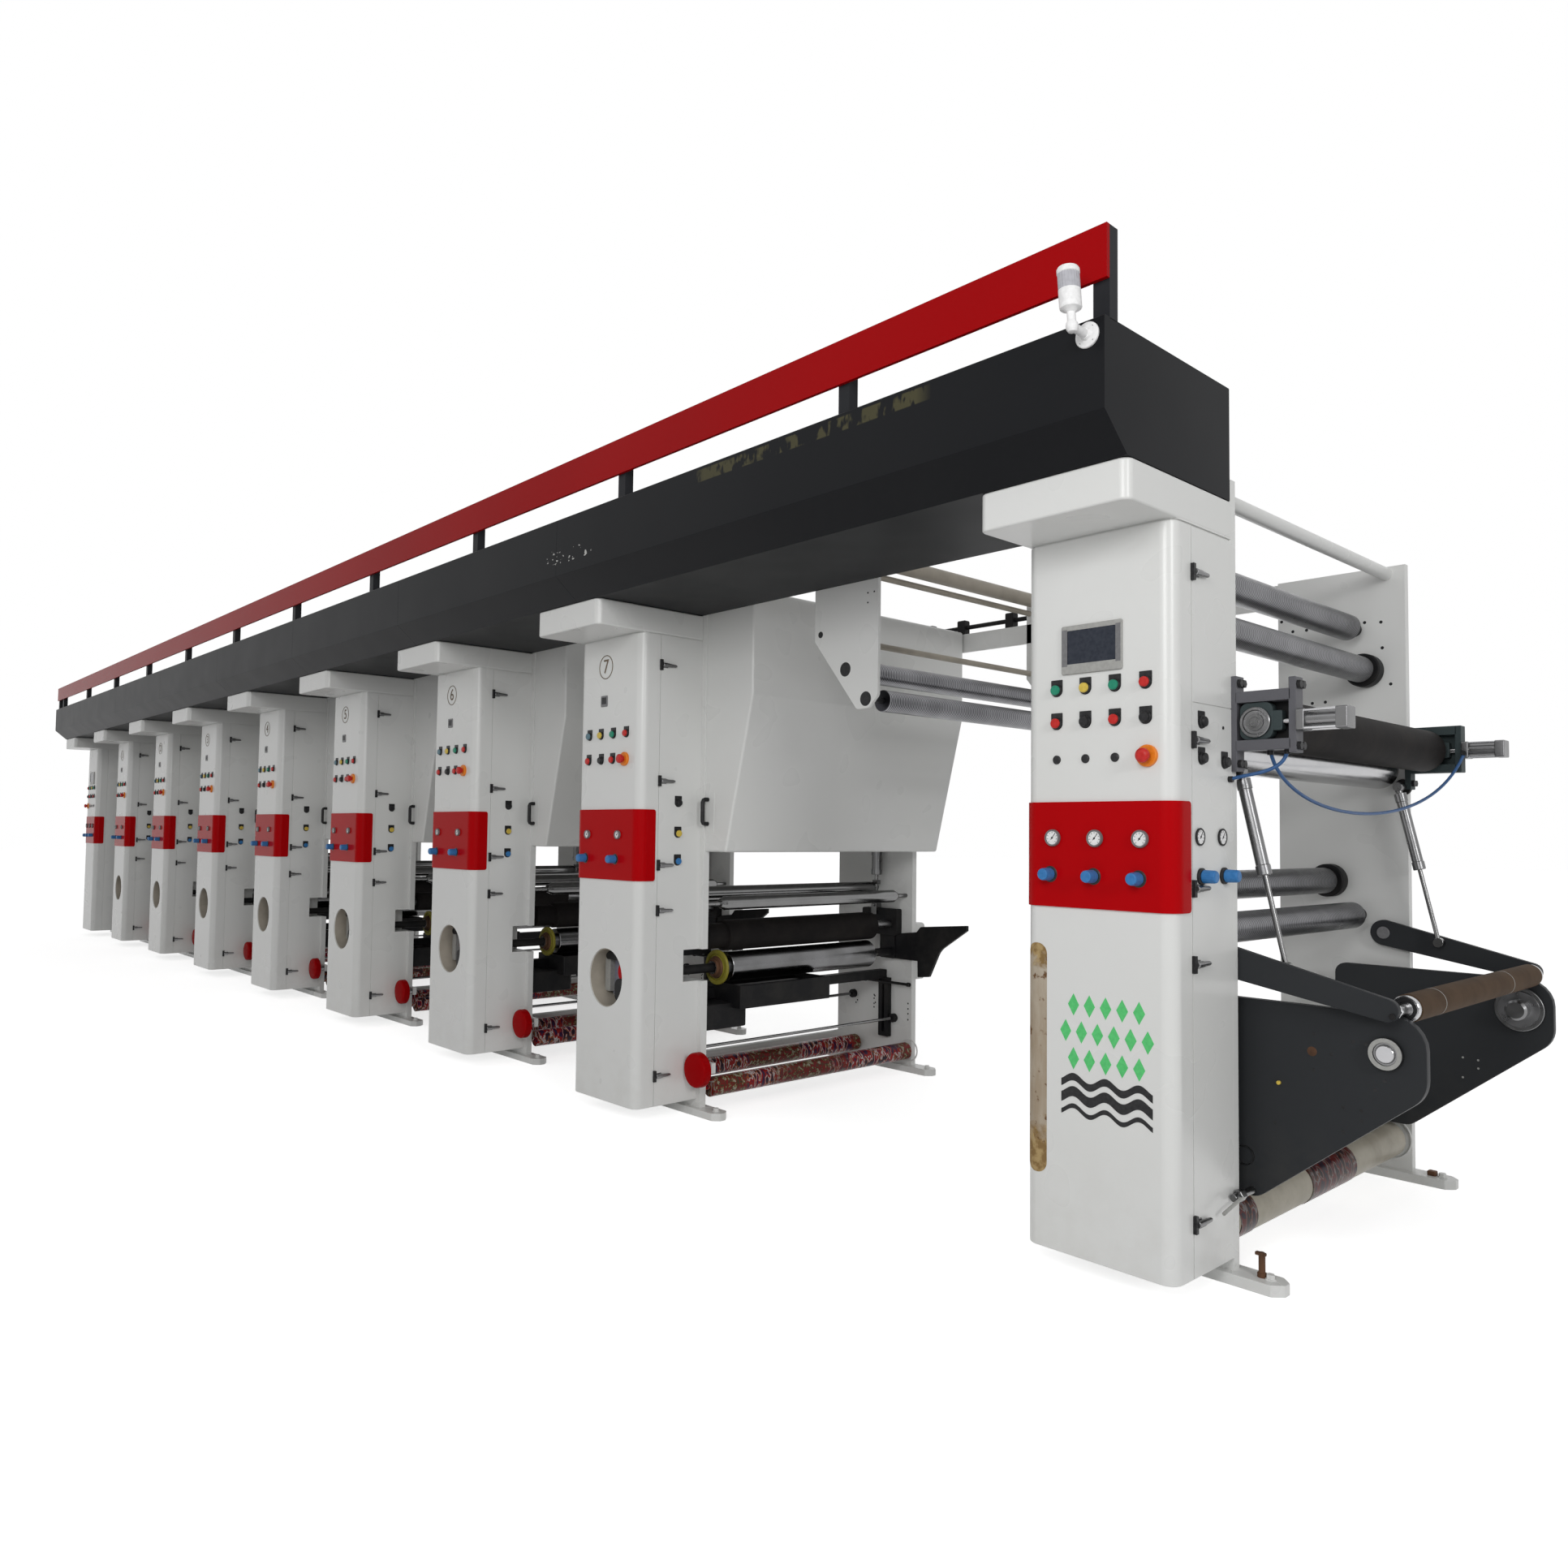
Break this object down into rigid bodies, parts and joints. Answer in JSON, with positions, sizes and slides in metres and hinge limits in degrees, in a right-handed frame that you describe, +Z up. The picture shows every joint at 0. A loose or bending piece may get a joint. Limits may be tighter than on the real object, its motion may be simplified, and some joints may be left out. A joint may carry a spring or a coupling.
{
  "type": "rotogravure printing press",
  "caption": "Multi-unit rotogravure web press: cabinets on walled stands, drying hoods, chromed cylinders, overhead duct, winder with lay-on roller.",
  "frame": {"origin": "on the floor, under the middle of the press's bounding box", "axes": "+X along the line from unwinder to rewinder, +Y from the operator side to the drive side, +Z up"},
  "size_m": [15.195, 2.4656, 2.958],
  "materials": {
    "white_paint": "gloss",
    "dark_paint": "satin",
    "red_paint": "gloss",
    "chrome_plate": "polished",
    "black_steel": "satin",
    "dark_rubber": "matte",
    "brown_sleeve": "matte",
    "bright_steel": "brushed",
    "white_plastic": "gloss"
  },
  "bodies": {
    "press": {"cabinet_1": "white_paint", "frame_1": "white_paint", "drying_hood_1": "white_paint", "printing_head_1": "black_steel", "cabinet_2": "white_paint", "frame_2": "white_paint", "drying_hood_2": "white_paint", "printing_head_2": "black_steel", "cabinet_3": "white_paint", "frame_3": "white_paint", "drying_hood_3": "white_paint", "printing_head_3": "black_steel", "cabinet_4": "white_paint", "frame_4": "white_paint", "drying_hood_4": "white_paint", "printing_head_4": "black_steel", "cabinet_5": "white_paint", "frame_5": "white_paint", "drying_hood_5": "white_paint", "printing_head_5": "black_steel", "cabinet_6": "white_paint", "frame_6": "white_paint", "drying_hood_6": "white_paint", "printing_head_6": "black_steel", "cabinet_7": "white_paint", "frame_7": "white_paint", "drying_hood_7": "white_paint", "printing_head_7": "black_steel", "rewinder_cabinet": "white_paint", "rewinder_frame": "white_paint", "rewinder_arms": "dark_paint", "unwinder_cabinet": "white_paint", "unwinder_frame": "white_paint", "unwinder_arms": "dark_paint", "air_cylinder_near": "bright_steel", "air_cylinder_far": "bright_steel", "overhead_duct": "dark_paint", "red_fascia": "red_paint", "beacon_lamp": "white_plastic", "bridge": "white_paint"},
    "cylinder_1": {"gravure_cylinder_1": "chrome_plate"},
    "cylinder_2": {"gravure_cylinder_2": "chrome_plate"},
    "cylinder_3": {"gravure_cylinder_3": "chrome_plate"},
    "cylinder_4": {"gravure_cylinder_4": "chrome_plate"},
    "cylinder_5": {"gravure_cylinder_5": "chrome_plate"},
    "cylinder_6": {"gravure_cylinder_6": "chrome_plate"},
    "cylinder_7": {"gravure_cylinder_7": "chrome_plate"},
    "rewinder_near_core_chuck": {"rewinder_chuck_near": "bright_steel"},
    "rewinder_far_core_chuck": {"rewinder_chuck_far": "bright_steel"},
    "rewinder_nip": {"rewinder_nip_roller": "dark_rubber"},
    "unwinder_near_core_chuck": {"unwinder_chuck_near": "bright_steel"},
    "unwinder_far_core_chuck": {"unwinder_chuck_far": "bright_steel"},
    "unwinder_nip": {"unwinder_nip_roller": "dark_rubber"},
    "lay_on_arm_pair": {"lay_on_arms": "dark_paint"},
    "lay_on_rubber_roller": {"lay_on_roller": "brown_sleeve"},
    "piston_near": {"piston_rod_near": "chrome_plate"},
    "piston_far": {"piston_rod_far": "chrome_plate"}
  },
  "joints": [
    {"name": "cylinder_1_spin", "type": "hinge", "parent": "press", "child": "cylinder_1", "pos_m": [-5.1895, 0.1325, 0.66], "axis": [0, 1, 0], "continuous": true},
    {"name": "cylinder_2_spin", "type": "hinge", "parent": "press", "child": "cylinder_2", "pos_m": [-3.5895, 0.1325, 0.66], "axis": [0, 1, 0], "continuous": true},
    {"name": "cylinder_3_spin", "type": "hinge", "parent": "press", "child": "cylinder_3", "pos_m": [-1.9895, 0.1325, 0.66], "axis": [0, 1, 0], "continuous": true},
    {"name": "cylinder_4_spin", "type": "hinge", "parent": "press", "child": "cylinder_4", "pos_m": [-0.3895, 0.1325, 0.66], "axis": [0, 1, 0], "continuous": true},
    {"name": "cylinder_5_spin", "type": "hinge", "parent": "press", "child": "cylinder_5", "pos_m": [1.2105, 0.1325, 0.66], "axis": [0, 1, 0], "continuous": true},
    {"name": "cylinder_6_spin", "type": "hinge", "parent": "press", "child": "cylinder_6", "pos_m": [2.8105, 0.1325, 0.66], "axis": [0, 1, 0], "continuous": true},
    {"name": "cylinder_7_spin", "type": "hinge", "parent": "press", "child": "cylinder_7", "pos_m": [4.4105, 0.1325, 0.66], "axis": [0, 1, 0], "continuous": true},
    {"name": "rewinder_chuck_near_spin", "type": "hinge", "parent": "press", "child": "rewinder_near_core_chuck", "pos_m": [7.4975, -0.2802, 0.722], "axis": [0, 1, 0], "continuous": true},
    {"name": "rewinder_chuck_far_spin", "type": "hinge", "parent": "press", "child": "rewinder_far_core_chuck", "pos_m": [7.4975, 0.9828, 0.722], "axis": [0, 1, 0], "continuous": true},
    {"name": "rewinder_nip_spin", "type": "hinge", "parent": "press", "child": "rewinder_nip", "pos_m": [7.1745, 0.1325, 1.667], "axis": [0, 1, 0], "continuous": true},
    {"name": "unwinder_chuck_near_spin", "type": "hinge", "parent": "press", "child": "unwinder_near_core_chuck", "pos_m": [-7.4975, -0.2802, 0.722], "axis": [0, 1, 0], "continuous": true},
    {"name": "unwinder_chuck_far_spin", "type": "hinge", "parent": "press", "child": "unwinder_far_core_chuck", "pos_m": [-7.4975, 0.9828, 0.722], "axis": [0, 1, 0], "continuous": true},
    {"name": "unwinder_nip_spin", "type": "hinge", "parent": "press", "child": "unwinder_nip", "pos_m": [-7.1745, 0.1325, 1.667], "axis": [0, 1, 0], "continuous": true},
    {"name": "lay_on_lift", "type": "hinge", "parent": "press", "child": "lay_on_arm_pair", "pos_m": [7.0175, 0.1325, 0.955], "axis": [0, -1, 0], "range_deg": [0, 35]},
    {"name": "lay_on_roller_spin", "type": "hinge", "parent": "lay_on_arm_pair", "child": "lay_on_rubber_roller", "pos_m": [7.5325, 0.1325, 0.846], "axis": [0, 1, 0], "continuous": true},
    {"name": "piston_near_slide", "type": "slide", "parent": "press", "child": "piston_near", "axis": [-0.2225, 0, 0.9749], "range_m": [-0.001, 0.1255]},
    {"name": "piston_far_slide", "type": "slide", "parent": "press", "child": "piston_far", "axis": [-0.2225, 0, 0.9749], "range_m": [-0.001, 0.1255]}
  ],
  "couplings": [
    {"joint": "cylinder_2_spin", "follows": "cylinder_1_spin", "ratio": 1},
    {"joint": "cylinder_3_spin", "follows": "cylinder_1_spin", "ratio": 1},
    {"joint": "cylinder_4_spin", "follows": "cylinder_1_spin", "ratio": 1},
    {"joint": "cylinder_5_spin", "follows": "cylinder_1_spin", "ratio": 1},
    {"joint": "cylinder_6_spin", "follows": "cylinder_1_spin", "ratio": 1},
    {"joint": "cylinder_7_spin", "follows": "cylinder_1_spin", "ratio": 1},
    {"joint": "rewinder_chuck_far_spin", "follows": "rewinder_chuck_near_spin", "ratio": 1},
    {"joint": "unwinder_chuck_far_spin", "follows": "unwinder_chuck_near_spin", "ratio": 1},
    {"joint": "piston_near_slide", "follows": "lay_on_lift", "m_per_rad": 0.20381},
    {"joint": "piston_far_slide", "follows": "lay_on_lift", "m_per_rad": 0.20381}
  ]
}
